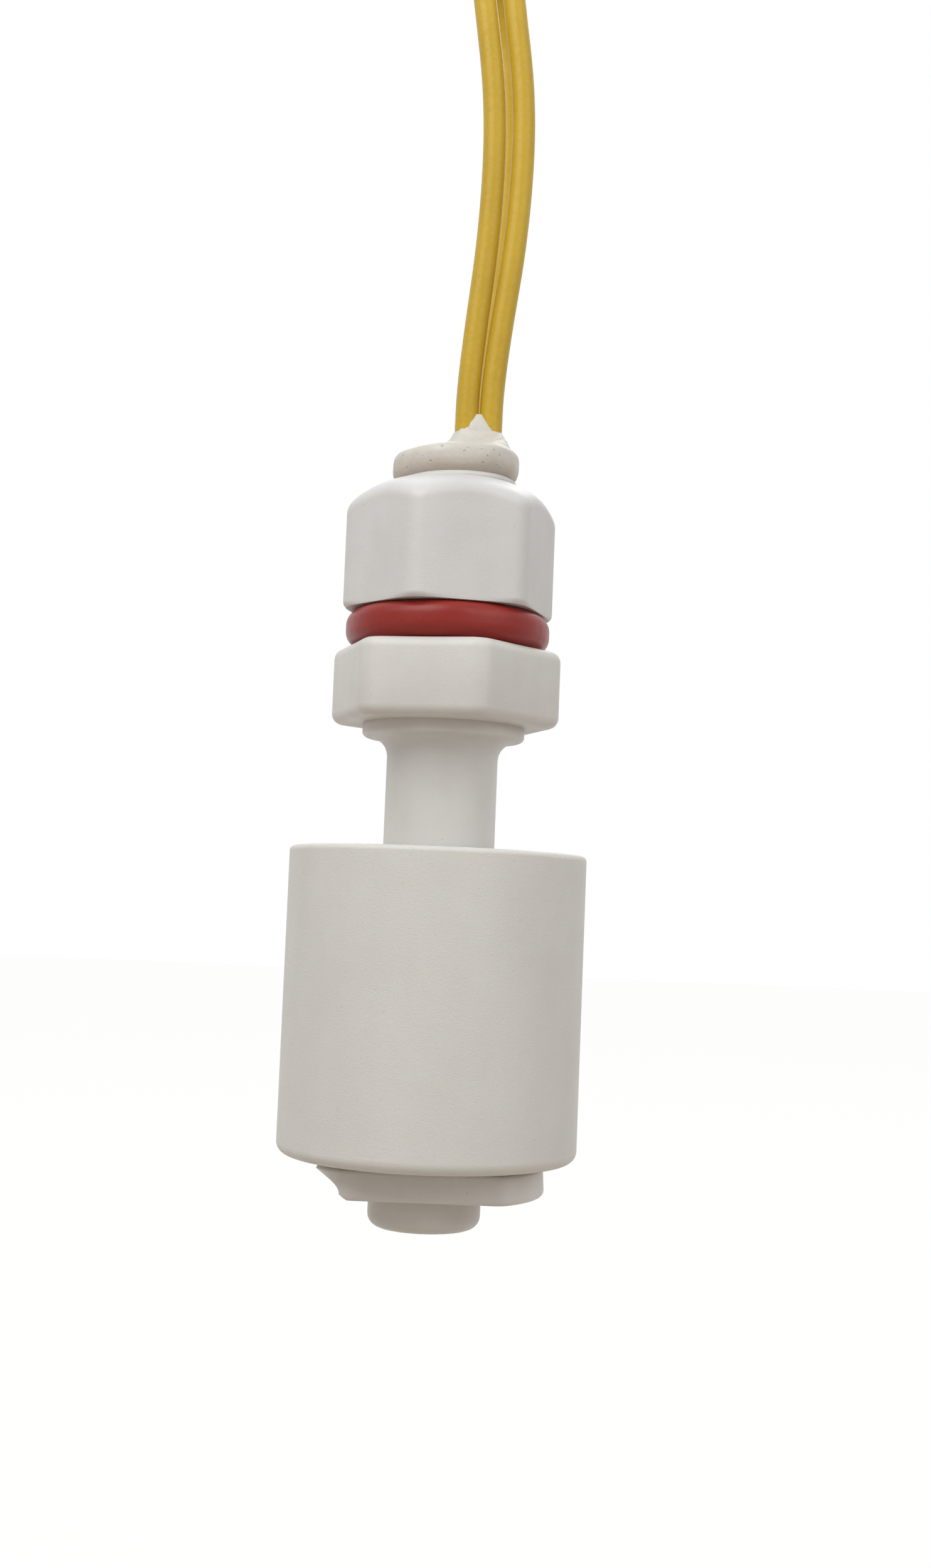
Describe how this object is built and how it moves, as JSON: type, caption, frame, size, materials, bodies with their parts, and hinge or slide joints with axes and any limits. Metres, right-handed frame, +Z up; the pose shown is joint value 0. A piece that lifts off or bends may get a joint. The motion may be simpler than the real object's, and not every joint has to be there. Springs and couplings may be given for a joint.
{
  "type": "float level switch",
  "caption": "Vertical float level switch: a cylindrical float slides on a plastic stem with a hexagonal flange, red gasket, clamping nut and two yellow leads.",
  "frame": {"origin": "on the stem's axis, on top of the gasket, where the tank's wall seats under the nut", "axes": "+Z up along the stem, out of the tank, along the leads; -X towards the clip's mouth"},
  "size_m": [0.0246, 0.035, 0.1142],
  "materials": {
    "white_plastic": "satin moulded polypropylene",
    "white_nut": "satin moulded polypropylene",
    "float_plastic": "matte moulded polypropylene",
    "red_silicone": "slightly glossy silicone rubber",
    "ferrite": "matte sintered ferrite",
    "glass": "clear, faintly green",
    "reed_metal": "plated nickel iron",
    "solder": "satin solder",
    "tinned_copper": "tinned strands",
    "sleeve_plastic": "shrunk sleeve",
    "yellow_insulation": "satin lead insulation",
    "compound": "cured sealing compound",
    "tie_plastic": "black tie"
  },
  "bodies": {
    "stem": {"stem_body": "white_plastic", "gasket": "red_silicone", "retaining_clip": "white_plastic", "reed_glass": "glass", "reed_blade_upper": "reed_metal", "reed_blade_lower": "reed_metal", "solder_joint_upper": "solder", "solder_joint_lower": "solder", "joint_sleeve_upper": "sleeve_plastic", "joint_sleeve_lower": "sleeve_plastic", "wire_left_inner": "yellow_insulation", "wire_right_inner": "yellow_insulation", "sealing_compound": "compound", "wire_left": "yellow_insulation", "wire_left_coil": "yellow_insulation", "wire_left_end": "tinned_copper", "wire_right": "yellow_insulation", "wire_right_coil": "yellow_insulation", "wire_right_end": "tinned_copper", "coil_tie": "tie_plastic"},
    "nut": {"hex_nut": "white_nut"},
    "magnet": {"ring_magnet": "ferrite"},
    "float": {"float_shell": "float_plastic", "float_cap": "float_plastic"}
  },
  "joints": [
    {"name": "float_slide", "type": "slide", "parent": "stem", "child": "magnet", "axis": [0, 0, 1], "range_m": [0, 0.0082]},
    {"name": "float_spin", "type": "hinge", "parent": "magnet", "child": "float", "pos_m": [0, 0, -0.03], "axis": [0, 0, 1], "continuous": true},
    {"name": "nut_travel", "type": "slide", "parent": "stem", "child": "nut", "axis": [0, 0, 1], "range_m": [0, 0.013]}
  ]
}
